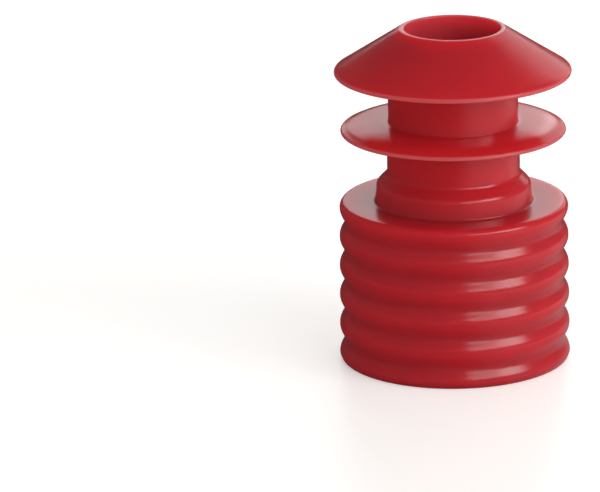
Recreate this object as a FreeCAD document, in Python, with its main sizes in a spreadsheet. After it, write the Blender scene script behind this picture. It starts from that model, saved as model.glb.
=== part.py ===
import FreeCAD, Part
import os

import Sketcher

# Push-in stopper for a 16 mm test tube, moulded in one piece of soft polyethylene.
# It stands on its ribbed grip, mouth of the hollow core up. Origin at the middle of the
# base, +Z up, sizes in millimetres. Heights are counted from the base up to the shoulder,
# and from the shoulder for all that goes into the tube.

SIZES = {
    # Ribbed grip: round rings with soft grooves between them, cut off flat at both ends
    "ring_count": 6,
    "ring_pitch": 2.1,
    "ring_depth": 0.38,
    "lowest_crest": 0.37,
    "shoulder_rise": 0.8,
    "foot_radius": 7.88,
    "low_crest_radius": 8.06,
    "high_crest_radius": 7.96,
    "shoulder_radius": 7.68,
    # Hollow under the grip, and the deck that closes it
    "recess_radius": 6.5,
    "recess_bevel": 0.7,
    "deck_thickness": 1.35,
    "foot_bevel": 0.1,
    # Dished shoulder and the collar that stands in it
    "dish_depth": 0.4,
    "shoulder_round_width": 0.35,
    "shoulder_round_drop": 0.2,
    "collar_radius": 5.48,
    "collar_side": 0.33,
    "collar_round": 1.2,
    "collar_blend": 0.5,
    # Hollow neck
    "neck_low_radius": 4.6,
    "neck_high_radius": 4.5,
    "bore_radius": 3.33,
    "bore_bevel": 0.4,
    # Thin disc that wipes the tube's wall
    "disc_radius": 7.8,
    "disc_rise": 4.68,
    "disc_droop": 0.3,
    "disc_edge": 0.3,
    "disc_edge_bevel": 0.09,
    "disc_root": 0.6,
    "disc_root_bevel": 0.15,
    # Umbrella at the end that goes in first
    "umbrella_radius": 8.2,
    "umbrella_rise": 8.85,
    "umbrella_edge": 0.36,
    "umbrella_edge_bevel": 0.11,
    "umbrella_wall": 0.9,
    "umbrella_root_bevel": 0.25,
    "crown_rise": 11.9,
    "lip_width": 0.2,
    "lip_bevel": 0.07,
}

# Short flats that follow each round stretch of the outline. The places on a ring are shares
# of the pitch, counted from its crest
RING_PLACES = (-0.43, -0.14, 0, 0.14, 0.43)
COLLAR_FLATS = 3
BLEND_FLATS = 2

# Heights, radii and angles that follow from the sizes
TOP_CREST = "(Sizes.lowest_crest + (Sizes.ring_count - 1) * Sizes.ring_pitch)"
SHOULDER = f"({TOP_CREST} + Sizes.shoulder_rise)"
DISH = f"({SHOULDER} - Sizes.dish_depth)"
ROOF = f"({DISH} - Sizes.deck_thickness)"
COLLAR_TOP = f"({DISH} + Sizes.collar_side)"
COLLAR_CENTRE = "(Sizes.collar_radius - Sizes.collar_round)"
BLEND_CENTRE = "(Sizes.neck_low_radius + Sizes.collar_blend)"
COLLAR_TURN = f"acos(({BLEND_CENTRE} - {COLLAR_CENTRE}) / (Sizes.collar_round + Sizes.collar_blend))"
COLLAR_END = f"({COLLAR_TOP} + (Sizes.collar_round + Sizes.collar_blend) * sin({COLLAR_TURN}))"
DISC = f"({SHOULDER} + Sizes.disc_rise)"
DISC_UNDER = f"({DISC} + Sizes.disc_droop - Sizes.disc_root / 2)"
DISC_OVER = f"({DISC} + Sizes.disc_droop + Sizes.disc_root / 2)"
UMBRELLA = f"({SHOULDER} + Sizes.umbrella_rise)"
UMBRELLA_RIM = "(Sizes.umbrella_radius - Sizes.umbrella_edge_bevel)"
CROWN = f"({SHOULDER} + Sizes.crown_rise)"
LIP = "(Sizes.bore_radius + Sizes.lip_width)"
SLOPE = f"(({CROWN} - {UMBRELLA} - Sizes.umbrella_edge / 2) / ({UMBRELLA_RIM} - {LIP}))"
SKIRT_ROOT = (f"({CROWN} - {SLOPE} * (Sizes.neck_high_radius - {LIP})"
              " - Sizes.umbrella_wall)")


def make_sheet(doc):
    """Put the driving dimensions in a spreadsheet, one alias a row."""
    sheet = doc.addObject("Spreadsheet::Sheet", "Sizes")
    for row, (alias, number) in enumerate(SIZES.items(), start=1):
        sheet.set(f"A{row}", alias)
        sheet.set(f"B{row}", str(number))
        sheet.setAlias(f"B{row}", alias)
    doc.recompute()
    return sheet


def half_section_sketch(body, name):
    """Make an empty sketch on the body's own XZ plane: across is radius, up is height."""
    sketch = body.newObject("Sketcher::SketchObject", name)
    planes = [item for item in body.Origin.OriginFeatures if item.Role == "XZ_Plane"]
    sketch.AttachmentSupport = (planes[0], [""])
    sketch.MapMode = "FlatFace"
    return sketch


def spot(sketch, place):
    """Turn a pair of formulas, radius and height, into a point of the sketch."""
    radius, height = place
    return FreeCAD.Vector(float(sketch.evalExpression(radius)), float(sketch.evalExpression(height)), 0)


def pin_start(sketch, line, place):
    """Bind the start of a line to its radius and height, so that it follows the sheet."""
    at = spot(sketch, place)
    for formula, value, kind, axis in ((place[0], at.x, "DistanceX", -2),
                                       (place[1], at.y, "DistanceY", -1)):
        if formula == "0":
            sketch.addConstraint(Sketcher.Constraint("PointOnObject", line, 1, axis))
            continue
        index = sketch.addConstraint(Sketcher.Constraint(kind, -1, 1, line, 1, value))
        sketch.setExpression(f"Constraints[{index}]", formula)


def draw_outline(sketch, places):
    """Draw a closed outline of straight lines through the given places."""
    ends = places[1:] + places[:1]
    lines = [sketch.addGeometry(Part.LineSegment(spot(sketch, place), spot(sketch, end)), False)
             for place, end in zip(places, ends)]
    for line, after in zip(lines, lines[1:] + lines[:1]):
        sketch.addConstraint(Sketcher.Constraint("Coincident", line, 2, after, 1))
    for line, place in zip(lines, places):
        pin_start(sketch, line, place)
    sketch.Document.recompute()


def turn(body, kind, name, sketch):
    """Revolve a half section about the stopper's axis, as a Revolution or a Groove."""
    feature = body.newObject(f"PartDesign::{kind}", name)
    feature.Profile = sketch
    feature.ReferenceAxis = (sketch, ["V_Axis"])
    feature.Angle = 360
    body.Document.recompute()


def bevel_edges(body, name, size, places):
    """Chamfer the circular edges that lie at the given radii and heights."""
    sketch = body.Document.getObject("Outline")
    wanted = [spot(sketch, place) for place in places]
    edges = []
    for number, edge in enumerate(body.Shape.Edges, start=1):
        if not isinstance(edge.Curve, Part.Circle) or abs(edge.Curve.Axis.z) < 0.99:
            continue
        middle = FreeCAD.Vector(edge.Curve.Radius, edge.Curve.Center.z, 0)
        if any(middle.distanceToPoint(point) < 1e-4 for point in wanted):
            edges.append(f"Edge{number}")
    if len(edges) != len(wanted):
        raise RuntimeError(f"{name}: found {len(edges)} edges of {len(wanted)}")
    base = body.Tip
    bevel = body.newObject("PartDesign::Chamfer", name)
    bevel.Base = (base, edges)
    bevel.setExpression("Size", size)
    body.Document.recompute()


def on_round(centre, radius, angle):
    """Place on a round stretch of the outline. The angle is counted from level."""
    return f"({centre[0]} + {radius} * cos({angle}))", f"({centre[1]} + {radius} * sin({angle}))"


def ring_place(index, share):
    """Place on the wave of the rings. The rings narrow slightly towards the shoulder."""
    along = f"{index + share} / (Sizes.ring_count - 1)"
    crest = f"(Sizes.low_crest_radius + (Sizes.high_crest_radius - Sizes.low_crest_radius) * {along})"
    radius = f"({crest} - Sizes.ring_depth * (1 - cos({share} * 360 deg)) / 2)"
    return radius, f"(Sizes.lowest_crest + {index + share} * Sizes.ring_pitch)"


def grip_places():
    """Foot and ringed side. The foot cuts the lowest ring, and the shoulder the highest."""
    count = int(SIZES["ring_count"])
    places = [("Sizes.foot_radius", "0")]
    for index in range(count):
        for share in RING_PLACES:
            if 0 <= index + share < count - 0.6:
                places.append(ring_place(index, share))
    return places


def shoulder_places():
    """Dished shoulder, and the collar with its round top and the blend into the neck."""
    collar = (COLLAR_CENTRE, COLLAR_TOP)
    blend = (BLEND_CENTRE, COLLAR_END)
    places = [("Sizes.shoulder_radius", f"({SHOULDER} - Sizes.shoulder_round_drop)"),
              ("(Sizes.shoulder_radius - Sizes.shoulder_round_width)", SHOULDER),
              ("Sizes.collar_radius", DISH)]
    for flat in range(COLLAR_FLATS + 1):
        places.append(on_round(collar, "Sizes.collar_round", f"({COLLAR_TURN} * {flat} / {COLLAR_FLATS})"))
    for flat in range(1, BLEND_FLATS + 1):
        angle = f"(180 deg + {COLLAR_TURN} * (1 - {flat} / {BLEND_FLATS}))"
        places.append(on_round(blend, "Sizes.collar_blend", angle))
    return places


def rim_places(name, height):
    """Edge of a lip, with both its corners bevelled, from its underside to its top."""
    radius, edge, bevel = f"Sizes.{name}_radius", f"Sizes.{name}_edge", f"Sizes.{name}_edge_bevel"
    return [(f"({radius} - {bevel})", f"({height} - {edge} / 2)"),
            (radius, f"({height} - {edge} / 2 + {bevel})"),
            (radius, f"({height} + {edge} / 2 - {bevel})"),
            (f"({radius} - {bevel})", f"({height} + {edge} / 2)")]


def neck_places():
    """Neck with the drooping disc, and the open-bottomed umbrella."""
    return ([("Sizes.neck_low_radius", DISC_UNDER)] + rim_places("disc", DISC)
            + [("Sizes.neck_high_radius", DISC_OVER), ("Sizes.neck_high_radius", SKIRT_ROOT)]
            + rim_places("umbrella", UMBRELLA) + [(LIP, CROWN)])


def make_blank(body):
    """Turn the whole outside of the stopper as one solid."""
    sketch = half_section_sketch(body, "Outline")
    axis = [("0", CROWN), ("0", "0")]
    draw_outline(sketch, grip_places() + shoulder_places() + neck_places() + axis)
    turn(body, "Revolution", "Blank", sketch)


def cut_hollow(body, name, radius, bottom, top):
    """Cut a round hollow about the axis, between two heights."""
    sketch = half_section_sketch(body, f"{name}Section")
    draw_outline(sketch, [("0", bottom), (radius, bottom), (radius, top), ("0", top)])
    turn(body, "Groove", name, sketch)


def bevel_corners(body):
    """Break the corners that the mould softens."""
    bevel_edges(body, "RecessCorner", "Sizes.recess_bevel", [("Sizes.recess_radius", ROOF)])
    bevel_edges(body, "FootEdges", "Sizes.foot_bevel",
                [("Sizes.recess_radius", "0"), ("Sizes.foot_radius", "0")])
    bevel_edges(body, "DiscRoot", "Sizes.disc_root_bevel",
                [("Sizes.neck_low_radius", DISC_UNDER), ("Sizes.neck_high_radius", DISC_OVER)])
    bevel_edges(body, "UmbrellaRoot", "Sizes.umbrella_root_bevel",
                [("Sizes.neck_high_radius", SKIRT_ROOT)])
    bevel_edges(body, "BoreCorner", "Sizes.bore_bevel", [("Sizes.bore_radius", DISH)])
    bevel_edges(body, "LipEdges", "Sizes.lip_bevel", [("Sizes.bore_radius", CROWN), (LIP, CROWN)])


def make_stopper(doc):
    """The whole stopper, one moulding."""
    body = doc.addObject("PartDesign::Body", "Stopper")
    body.Label = "stopper"
    make_blank(body)
    cut_hollow(body, "Recess", "Sizes.recess_radius", "0", ROOF)
    cut_hollow(body, "Bore", "Sizes.bore_radius", DISH, CROWN)
    bevel_corners(body)
    return body


def check(doc, bodies):
    """Stop with a message if a feature failed or a shape is not one sound solid."""
    for item in doc.Objects:
        if "Invalid" in item.State or "Error" in item.State:
            raise RuntimeError(f"{item.Name} failed: {item.State}")
    for body in bodies:
        shape = body.Shape
        if shape.isNull() or not shape.isValid() or len(shape.Solids) != 1:
            raise RuntimeError(f"{body.Label} is not one valid solid")


def write_parts(bodies):
    """Write each body to its own STEP file, named after its label."""
    os.makedirs("parts", exist_ok=True)
    for body in bodies:
        body.Shape.exportStep(f"parts/{body.Label}.step")
        box = body.Shape.BoundBox
        print(body.Label, "volume", round(body.Shape.Volume, 2), "mm3,",
              "box", [round(side, 3) for side in (box.XLength, box.YLength, box.ZLength)])


document = FreeCAD.newDocument("TubeStopper")
make_sheet(document)
parts = [make_stopper(document)]
document.recompute()
check(document, parts)
write_parts(parts)
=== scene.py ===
import math

import bmesh
import bpy
from mathutils import Euler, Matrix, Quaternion, Vector


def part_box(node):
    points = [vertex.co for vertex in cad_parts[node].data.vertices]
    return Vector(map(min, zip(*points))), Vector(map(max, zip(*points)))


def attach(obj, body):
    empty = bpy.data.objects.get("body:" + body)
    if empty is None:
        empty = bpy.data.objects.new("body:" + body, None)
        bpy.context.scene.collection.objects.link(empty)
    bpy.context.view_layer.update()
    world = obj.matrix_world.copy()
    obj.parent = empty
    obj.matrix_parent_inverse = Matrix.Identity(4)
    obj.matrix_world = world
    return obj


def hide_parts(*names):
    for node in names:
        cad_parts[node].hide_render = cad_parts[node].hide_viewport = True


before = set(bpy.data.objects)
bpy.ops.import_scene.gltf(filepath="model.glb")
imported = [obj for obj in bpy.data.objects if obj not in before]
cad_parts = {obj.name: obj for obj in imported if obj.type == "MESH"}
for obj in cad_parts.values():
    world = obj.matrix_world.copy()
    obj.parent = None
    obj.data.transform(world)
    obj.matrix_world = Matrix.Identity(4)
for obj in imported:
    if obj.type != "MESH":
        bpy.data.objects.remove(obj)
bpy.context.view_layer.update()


# Stopper
# One moulding of soft polyethylene, turned in form: a ringed grip, a flat shoulder, a collar
# and a hollow neck with a thin disc and an umbrella. A loop of edges is carried along its
# outline, from the foot up over the outside and down into the core.

MM = 0.001
AROUND = 192

low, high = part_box("stopper")
crown = high.z
umbrella_radius = (high.x - low.x) / 2
shoulder = crown - 12.27 * MM
dish = shoulder - 0.03 * MM

foot_radius = 7.88 * MM
ring_count = 6
ring_pitch = 2.1 * MM
ring_depth = 0.34 * MM
low_crest_radius = 8.03 * MM
high_crest_radius = 7.93 * MM
ring_sharpness = 1.25
ring_steps = 20

shoulder_round = 0.43 * MM
collar_radius = 5.48 * MM
collar_rise = 1.05 * MM
collar_taper = 0.12 * MM
collar_lean = 6
collar_round = 0.6 * MM
collar_slope = 45
collar_blend = 0.5 * MM
neck_low_radius = 4.6 * MM
neck_high_radius = 4.5 * MM

disc_radius = 7.8 * MM
disc_height = crown - 7.22 * MM
disc_droop = 0.3 * MM
disc_bend = 6
disc_edge = 0.3 * MM
disc_root = 0.6 * MM
disc_steps = 12

umbrella_height = crown - 3.05 * MM
umbrella_edge = 0.36 * MM
umbrella_wall = 0.9 * MM

bore_radius = 3.33 * MM
lip_width = 0.3 * MM
lip_round = 0.11 * MM
deck = 1.35 * MM
recess_radius = 6.5 * MM
hub_radius = 0.4 * MM

foot_round = 0.12 * MM
recess_corner = 0.8 * MM
collar_foot = 0.12 * MM
disc_under_blend = 0.18 * MM
disc_over_blend = 0.06 * MM
skirt_blend = 0.3 * MM
core_corner = 0.5 * MM


def arc(centre, radius, begin, end, steps):
    """Places along a round stretch of the outline, from one angle to another, ends included."""
    turns = [math.radians(begin + (end - begin) * step / steps) for step in range(steps + 1)]
    return [(centre[0] + radius * math.cos(turn), centre[1] + radius * math.sin(turn))
            for turn in turns]


def along(start, end, steps):
    """Places along a straight stretch, without its start."""
    return [(start[0] + (end[0] - start[0]) * step / steps,
             start[1] + (end[1] - start[1]) * step / steps) for step in range(1, steps + 1)]


# Ringed grip, a soft wave that ends on the highest crest. The shoulder's round starts there
lowest_crest = shoulder - shoulder_round - (ring_count - 1) * ring_pitch
grip = []
for step in range((ring_count - 1) * ring_steps + 1):
    ring = step / ring_steps
    crest = low_crest_radius + (high_crest_radius - low_crest_radius) * ring / (ring_count - 1)
    groove = ring_depth * ((1 - math.cos(math.tau * ring)) / 2) ** ring_sharpness
    grip.append((crest - groove, lowest_crest + ring * ring_pitch))

# Shoulder, all but flat, and the collar: a small round edge, a straight slope and a hollow blend
# into the neck
shoulder_centre = (high_crest_radius - shoulder_round, shoulder - shoulder_round)
rim = arc(shoulder_centre, shoulder_round, 0, 90, 12)[1:]
collar = rim + along(rim[-1], (collar_radius, dish), 6)
crest_centre = (collar_radius - collar_taper - collar_round, dish + collar_rise)
collar += arc(crest_centre, collar_round, collar_lean, collar_slope, 10)
lean = math.radians(collar_slope)
run = (collar[-1][0] - neck_low_radius - collar_blend * (1 - math.cos(lean))) / math.sin(lean)
foot_of_blend = (collar[-1][0] - run * math.sin(lean), collar[-1][1] + run * math.cos(lean))
blend_centre = (neck_low_radius + collar_blend, foot_of_blend[1] + collar_blend * math.sin(lean))
collar += along(collar[-1], foot_of_blend, 2)
collar += arc(blend_centre, collar_blend, 180 + collar_slope, 180, 10)[1:]

# Disc, flat near the neck and bent down towards its full round rim
disc_rim = disc_radius - disc_edge / 2
disc_under = (neck_low_radius, disc_height + disc_droop - disc_root / 2)
disc_over = (neck_high_radius, disc_height + disc_droop + disc_root / 2)
under = []
over = []
for step in range(1, disc_steps + 1):
    share = step / disc_steps
    middle = disc_height + disc_droop * (1 - share ** disc_bend)
    half = (disc_root + (disc_edge - disc_root) * share) / 2
    under.append((neck_low_radius + (disc_rim - neck_low_radius) * share, middle - half))
    over.append((neck_high_radius + (disc_rim - neck_high_radius) * share, middle + half))
disc = along(collar[-1], disc_under, 5) + under
disc += arc((disc_rim, disc_height), disc_edge / 2, -90, 90, 8)[1:-1]
disc += over[::-1] + [disc_over]

# Umbrella: hollow underside, full round rim, and a narrow lip round the core
umbrella_rim = umbrella_radius - umbrella_edge / 2
lip = bore_radius + lip_width
slope = (crown - umbrella_height - umbrella_edge / 2) / (umbrella_rim - lip)
skirt_root = (neck_high_radius, crown - slope * (neck_high_radius - lip) - umbrella_wall)
umbrella = along(disc_over, skirt_root, 6)
umbrella += along(skirt_root, (umbrella_rim, umbrella_height - umbrella_edge / 2), 6)
umbrella += arc((umbrella_rim, umbrella_height), umbrella_edge / 2,
                -90, 90 - math.degrees(math.atan(slope)), 8)[1:]
umbrella += along(umbrella[-1], (lip, crown), 10)

# Core and its closed end
core = ([(bore_radius, crown)] + along((bore_radius, crown), (bore_radius, dish), 10)
        + [(hub_radius, dish)])

bpy.ops.object.select_all(action="DESELECT")
bpy.ops.mesh.primitive_circle_add(vertices=AROUND, radius=foot_radius, location=(0, 0, 0),
                                  enter_editmode=True)
stopper = bpy.context.object
stopper.name = "moulded_stopper"
stopper.data.name = "moulded_stopper"
bpy.ops.mesh.select_all(action="SELECT")
here = (foot_radius, 0)


def carry(here, place):
    """Extrude the selected loop to the next place on the outline."""
    rise = place[1] - here[1]
    bpy.ops.mesh.extrude_edges_move(TRANSFORM_OT_translate={"value": (0, 0, rise)})
    scale = place[0] / here[0]
    bpy.ops.transform.resize(value=(scale, scale, 1), center_override=(0, 0, place[1]))
    return place


for place in grip + collar + disc + umbrella + core:
    here = carry(here, place)
bpy.ops.mesh.merge(type="CENTER")


def pick_loop(radius, height):
    """Select the edge loop that lies at the given place on the outline."""
    near = 0.002 * MM
    bpy.ops.mesh.select_all(action="DESELECT")
    bpy.ops.mesh.select_mode(type="EDGE")
    shape = bmesh.from_edit_mesh(stopper.data)
    for edge in shape.edges:
        edge.select = all(math.hypot(math.hypot(*vert.co.xy) - radius, vert.co.z - height) < near
                          for vert in edge.verts)
    shape.select_flush_mode()
    bmesh.update_edit_mesh(stopper.data)


# Recess under the grip, carried from the foot's edge inwards and up to the deck
pick_loop(foot_radius, 0)
here = (foot_radius, 0)
for place in ([(recess_radius, 0)] + along((recess_radius, 0), (recess_radius, dish - deck), 8)
              + [(hub_radius, dish - deck)]):
    here = carry(here, place)
bpy.ops.mesh.merge(type="CENTER")

# The mould rounds every corner
for radius, height, width, segments in (
        (foot_radius, 0, foot_round, 4), (recess_radius, 0, foot_round, 4),
        (recess_radius, dish - deck, recess_corner, 8), (collar_radius, dish, collar_foot, 4),
        (*disc_under, disc_under_blend, 5), (*disc_over, disc_over_blend, 3),
        (*skirt_root, skirt_blend, 6), (lip, crown, lip_round, 5),
        (bore_radius, crown, lip_round, 5), (bore_radius, dish, core_corner, 8)):
    pick_loop(radius, height)
    bpy.ops.mesh.bevel(offset_type="OFFSET", offset=width, segments=segments, profile=0.5,
                       affect="EDGES")

bpy.ops.mesh.select_all(action="SELECT")
bpy.ops.mesh.remove_doubles(threshold=0.0005 * MM)
bpy.ops.mesh.normals_make_consistent(inside=False)
bpy.ops.object.mode_set(mode="OBJECT")
bpy.ops.object.shade_smooth_by_angle(angle=math.radians(40))

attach(stopper, "root")
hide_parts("stopper")


# Surface: low-density polyethylene dyed red, injection moulded in a polished mould. It has a
# waxy satin gloss with a soft edge to its highlights, slightly uneven where the plastic shrank
def linear(code):
    """Turn an sRGB hex colour into linear values."""
    parts = [int(code[at:at + 2], 16) / 255 for at in (1, 3, 5)]
    return [part / 12.92 if part <= 0.04045 else ((part + 0.055) / 1.055) ** 2.4
            for part in parts] + [1.0]


def add(tree, kind, links=(), inputs=(), **settings):
    """Add a node with its settings, its own input values and its links."""
    node = tree.nodes.new(kind)
    for name, value in settings.items():
        setattr(node, name, value)
    for socket, value in dict(inputs).items():
        node.inputs[socket].default_value = value
    for socket, source in dict(links).items():
        tree.links.new(source, node.inputs[socket])
    return node


plastic = bpy.data.materials.new("red_low_density_polyethylene")
plastic.use_nodes = True
tree = plastic.node_tree
tree.nodes.clear()
place_on = add(tree, "ShaderNodeTexCoord").outputs["Object"]

# Dye: two close reds in clouds a few millimetres across
cloud_size = 4 * MM
clouds = add(tree, "ShaderNodeTexNoise", {"Vector": place_on},
             {"Scale": 1 / cloud_size, "Detail": 3.0, "Roughness": 0.55})
dye = add(tree, "ShaderNodeMix", {"Factor": clouds.outputs["Fac"]}, data_type="RGBA")
dye.inputs[6].default_value = linear("#A81F28")
dye.inputs[7].default_value = linear("#B6232C")

# Neck: painted glow. The neck's red is painted brighter, standing in for light that comes
# through its wall from the hollow core. Places are told by their distance from the axis and
# their height
flat = add(tree, "ShaderNodeVectorMath", {0: place_on}, {1: (1, 1, 0)}, operation="MULTIPLY")
radius = add(tree, "ShaderNodeVectorMath", {0: flat.outputs[0]}, operation="LENGTH")
height = add(tree, "ShaderNodeSeparateXYZ", {"Vector": place_on})
inside = add(tree, "ShaderNodeMapRange", {"Value": radius.outputs["Value"]},
             {"From Min": neck_low_radius + 0.1 * MM, "From Max": neck_low_radius + 0.4 * MM,
              "To Min": 0.7, "To Max": 0.0})
below = add(tree, "ShaderNodeMapRange", {"Value": height.outputs["Z"]},
            {"From Min": crown - 1.2 * MM, "From Max": crown - 0.9 * MM,
             "To Min": 1.0, "To Max": 0.0})
neck_glow_mask = add(tree, "ShaderNodeMath",
             {0: inside.outputs["Result"], 1: below.outputs["Result"]}, operation="MULTIPLY")
neck_painted_glow = add(tree, "ShaderNodeMix", {"Factor": neck_glow_mask.outputs[0], 6: dye.outputs[2]},
             data_type="RGBA")
neck_painted_glow.inputs[7].default_value = linear("#C1212A")

# Rims: painted highlight. The red is painted paler along the thin rims of the disc, the umbrella
# and the lip, standing in for the light lines they catch
section = add(tree, "ShaderNodeCombineXYZ",
              {"X": radius.outputs["Value"], "Z": height.outputs["Z"]})
to_disc, to_umbrella, to_lip = [
    add(tree, "ShaderNodeVectorMath", {0: section.outputs[0]}, {1: (across, 0, level)},
        operation="DISTANCE").outputs["Value"]
    for across, level in ((disc_radius, disc_height), (umbrella_radius, umbrella_height),
                          (bore_radius + lip_width / 2, crown))]
nearer = add(tree, "ShaderNodeMath", {0: to_disc, 1: to_umbrella}, operation="MINIMUM")
nearer = add(tree, "ShaderNodeMath", {0: nearer.outputs[0], 1: to_lip}, operation="MINIMUM")
rim_highlight_mask = add(tree, "ShaderNodeMapRange", {"Value": nearer.outputs[0]},
           {"From Min": 0.1 * MM, "From Max": 0.24 * MM, "To Min": 1.0, "To Max": 0.0},
           interpolation_type="SMOOTHSTEP")
rim_painted_highlight = add(tree, "ShaderNodeMix", {"Factor": rim_highlight_mask.outputs["Result"], 6: neck_painted_glow.outputs[2]},
            data_type="RGBA")
rim_painted_highlight.inputs[7].default_value = linear("#BA4951")

# Core: painted sheen. The core's wall is painted a paler, bluer red, standing in for the hazy
# sheen and light seen inside it
core_sheen_mask = add(tree, "ShaderNodeMapRange", {"Value": radius.outputs["Value"]},
           {"From Min": bore_radius + 0.01 * MM, "From Max": bore_radius + 0.08 * MM,
            "To Min": 0.8, "To Max": 0.0})
core_painted_sheen = add(tree, "ShaderNodeMix", {"Factor": core_sheen_mask.outputs["Result"], 6: rim_painted_highlight.outputs[2]},
            data_type="RGBA")
core_painted_sheen.inputs[7].default_value = linear("#B43B47")

# Gloss: a little duller in patches under a millimetre wide
patch_size = 0.9 * MM
patches = add(tree, "ShaderNodeTexNoise", {"Vector": place_on},
              {"Scale": 1 / patch_size, "Detail": 4.0, "Roughness": 0.6})
gloss = add(tree, "ShaderNodeMapRange", {"Value": patches.outputs["Fac"]},
            {"From Min": 0.3, "From Max": 0.7, "To Min": 0.17, "To Max": 0.25})

# Skin: shrinkage ripple, and the fine grain of the mould, drawn coarser so that it shows
ripple_size = 2.2 * MM
grain_size = 0.15 * MM
ripple = add(tree, "ShaderNodeTexNoise", {"Vector": place_on},
             {"Scale": 1 / ripple_size, "Detail": 1.0})
grain = add(tree, "ShaderNodeTexNoise", {"Vector": place_on},
            {"Scale": 1 / grain_size, "Detail": 2.0})
ripple_bump = add(tree, "ShaderNodeBump", {"Height": ripple.outputs["Fac"]},
                  {"Strength": 0.5, "Distance": 0.03 * MM})
grain_bump = add(tree, "ShaderNodeBump",
                 {"Height": grain.outputs["Fac"], "Normal": ripple_bump.outputs["Normal"]},
                 {"Strength": 0.25, "Distance": 0.004 * MM})

body = add(tree, "ShaderNodeBsdfPrincipled",
           {"Base Color": core_painted_sheen.outputs[2], "Roughness": gloss.outputs["Result"],
            "Normal": grain_bump.outputs["Normal"]},
           {"IOR": 1.51, "Subsurface Weight": 0.9, "Subsurface Radius": (1.0, 0.25, 0.2),
            "Subsurface Scale": 4.5 * MM})
add(tree, "ShaderNodeOutputMaterial", {"Surface": body.outputs["BSDF"]})
stopper.data.materials.clear()
stopper.data.materials.append(plastic)


# Ground
# A wide white sheet of satin acrylic just under the foot, which fills the picture behind the
# stopper. It is lifted to white for the camera alone, and keeps the soft shadow. In the
# plastic's gloss the sheet shows a painted glow, bright on the right only and with painted shade
# near the stopper, while the rest of the room is dark.

sheet_width = 4.0
foot_gap = 0.02 * MM
white_lift = 0.41
bright_way = (0.98, -0.19, 0)
bright_glow = 0.6
dark_glow = 0.04

bpy.ops.object.select_all(action="DESELECT")
bpy.ops.mesh.primitive_plane_add(size=sheet_width, location=(0, 0, -foot_gap))
ground = bpy.context.object
ground.name = "ground"
sheet = bpy.data.materials.new("white_satin_acrylic")
sheet.use_nodes = True
tree = sheet.node_tree
tree.nodes.clear()
path = add(tree, "ShaderNodeLightPath")
lift = add(tree, "ShaderNodeMath", {0: path.outputs["Is Camera Ray"]}, {1: white_lift},
           operation="MULTIPLY")
acrylic = add(tree, "ShaderNodeBsdfPrincipled", {"Emission Strength": lift.outputs[0]},
              {"Base Color": linear("#EDEBE6"), "Roughness": 0.35, "IOR": 1.45,
               "Emission Color": linear("#FFFFFF")})

# Painted glow that only the gloss sees: bright to the right and a little in front, and dimmed by
# painted shade nearer the stopper
spot = add(tree, "ShaderNodeTexCoord").outputs["Object"]
heading = add(tree, "ShaderNodeVectorMath", {0: spot}, operation="NORMALIZE")
towards = add(tree, "ShaderNodeVectorMath", {0: heading.outputs[0]}, {1: bright_way},
              operation="DOT_PRODUCT")
side = add(tree, "ShaderNodeMapRange", {"Value": towards.outputs["Value"]},
           {"From Min": 0.2, "From Max": 0.9, "To Min": 0.0, "To Max": bright_glow},
           interpolation_type="SMOOTHSTEP")
away = add(tree, "ShaderNodeVectorMath", {0: spot}, operation="LENGTH")
painted_shade_near_stopper = add(tree, "ShaderNodeMapRange", {"Value": away.outputs["Value"]},
            {"From Min": 10 * MM, "From Max": 50 * MM, "To Min": 0.5, "To Max": 1.0})
glow = add(tree, "ShaderNodeMath", {0: side.outputs["Result"], 1: painted_shade_near_stopper.outputs["Result"]},
           {2: dark_glow}, operation="MULTIPLY_ADD")
painted_gloss_glow = add(tree, "ShaderNodeEmission", {"Strength": glow.outputs[0]},
               {"Color": linear("#FFFFFF")})
either = add(tree, "ShaderNodeMixShader", {0: path.outputs["Is Glossy Ray"],
                                           1: acrylic.outputs["BSDF"], 2: painted_gloss_glow.outputs[0]})
add(tree, "ShaderNodeOutputMaterial", {"Surface": either.outputs[0]})
ground.data.materials.append(sheet)


# Studio
# A white room, brightest round the horizon and towards the right, a large soft box to the right
# of the camera and lit white panels behind. In the plastic's gloss the rest of the room is dark.

horizon_light = 2.1
overhead_light = 0.34
left_share = 0.72
right_share = 1.4
white_seen = 1.0
dark_mirrored = 0.08

world = bpy.data.worlds.new("studio")
bpy.context.scene.world = world
world.use_nodes = True
tree = world.node_tree
tree.nodes.clear()
path = add(tree, "ShaderNodeLightPath")
heading = add(tree, "ShaderNodeTexCoord").outputs["Generated"]
climb = add(tree, "ShaderNodeSeparateXYZ", {"Vector": heading})
fade = add(tree, "ShaderNodeMapRange", {"Value": climb.outputs["Z"]},
           {"From Min": 0.05, "From Max": 0.5, "To Min": horizon_light,
            "To Max": overhead_light}, interpolation_type="SMOOTHSTEP")
share = add(tree, "ShaderNodeMapRange", {"Value": climb.outputs["X"]},
            {"From Min": -1.0, "From Max": 1.0, "To Min": left_share, "To Max": right_share})
level = add(tree, "ShaderNodeMath", {0: fade.outputs["Result"], 1: share.outputs["Result"]},
            operation="MULTIPLY")
room = add(tree, "ShaderNodeBackground", {"Strength": level.outputs[0]},
           {"Color": linear("#FFFFFF")})
white = add(tree, "ShaderNodeBackground",
            inputs={"Color": linear("#FFFFFF"), "Strength": white_seen})
dark = add(tree, "ShaderNodeBackground",
           inputs={"Color": linear("#FFFFFF"), "Strength": dark_mirrored})
seen = add(tree, "ShaderNodeMixShader", {0: path.outputs["Is Camera Ray"],
                                         1: room.outputs[0], 2: white.outputs[0]})
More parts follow.
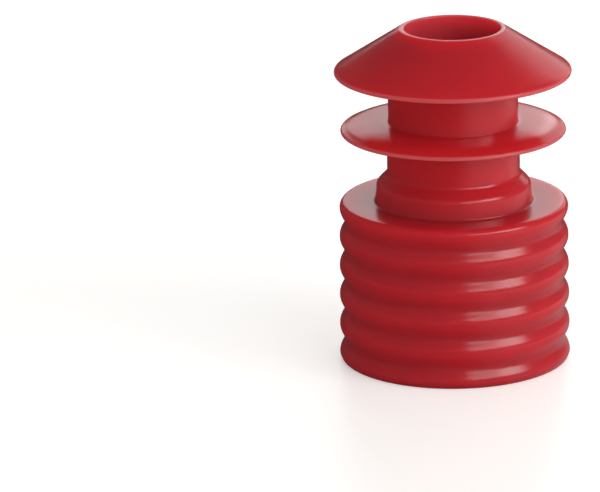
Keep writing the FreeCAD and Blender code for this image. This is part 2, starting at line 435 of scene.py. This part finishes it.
whole = add(tree, "ShaderNodeMixShader", {0: path.outputs["Is Glossy Ray"],
                                          1: seen.outputs[0], 2: dark.outputs[0]})
add(tree, "ShaderNodeOutputWorld", {"Surface": whole.outputs[0]})


def soft_box(name, azimuth, elevation, distance, size, glow):
    """A rectangular lamp that faces the stopper. Azimuth 0 is at the camera, 90 to the right."""
    lamp = bpy.data.lights.new(name, "AREA")
    lamp.shape = "RECTANGLE"
    lamp.size, lamp.size_y = size
    lamp.energy = glow * math.pi * size[0] * size[1]
    turn, rise = math.radians(azimuth), math.radians(elevation)
    level = math.cos(rise)
    out = Vector((math.sin(turn) * level, -math.cos(turn) * level, math.sin(rise)))
    holder = bpy.data.objects.new(name, lamp)
    holder.location = Vector((0, 0, crown / 2)) + out * distance
    holder.rotation_euler = out.to_track_quat("Z", "Y").to_euler()
    holder.visible_camera = False
    bpy.context.scene.collection.objects.link(holder)


soft_box("key", 46, 28, 0.30, (0.33, 0.115), 2.6)
soft_box("key_edge", 61, 28, 0.30, (0.12, 0.115), 2.6)
soft_box("rear_right", 160, 29, 0.32, (0.17, 0.27), 0.8)
soft_box("rear", 183, 19, 0.32, (0.15, 0.13), 1.15)


# Camera
# As for the photograph: 0.38 m away with a long lens, looking down by 16.3 degrees.
# The stopper stands right of the middle of the picture, so the lens is shifted.

distance = 380 * MM
look_down = math.radians(16.3)
roll = math.radians(-0.5)
aim = Vector((0, 0, 11.75 * MM))
lens = bpy.data.cameras.new("camera")
lens.sensor_width = 36
lens.lens = 328.8
lens.shift_x = -0.2562
lens.shift_y = -0.089
lens.clip_start = 0.01
lens.clip_end = 20
camera = bpy.data.objects.new("camera", lens)
camera.location = aim + distance * Vector((0, -math.cos(look_down), math.sin(look_down)))
camera.rotation_euler = (Euler((math.pi / 2 - look_down, 0, 0)).to_quaternion()
                         @ Quaternion((0, 0, 1), roll)).to_euler()
bpy.context.scene.collection.objects.link(camera)
bpy.context.scene.camera = camera
bpy.context.scene.view_settings.view_transform = "Standard"
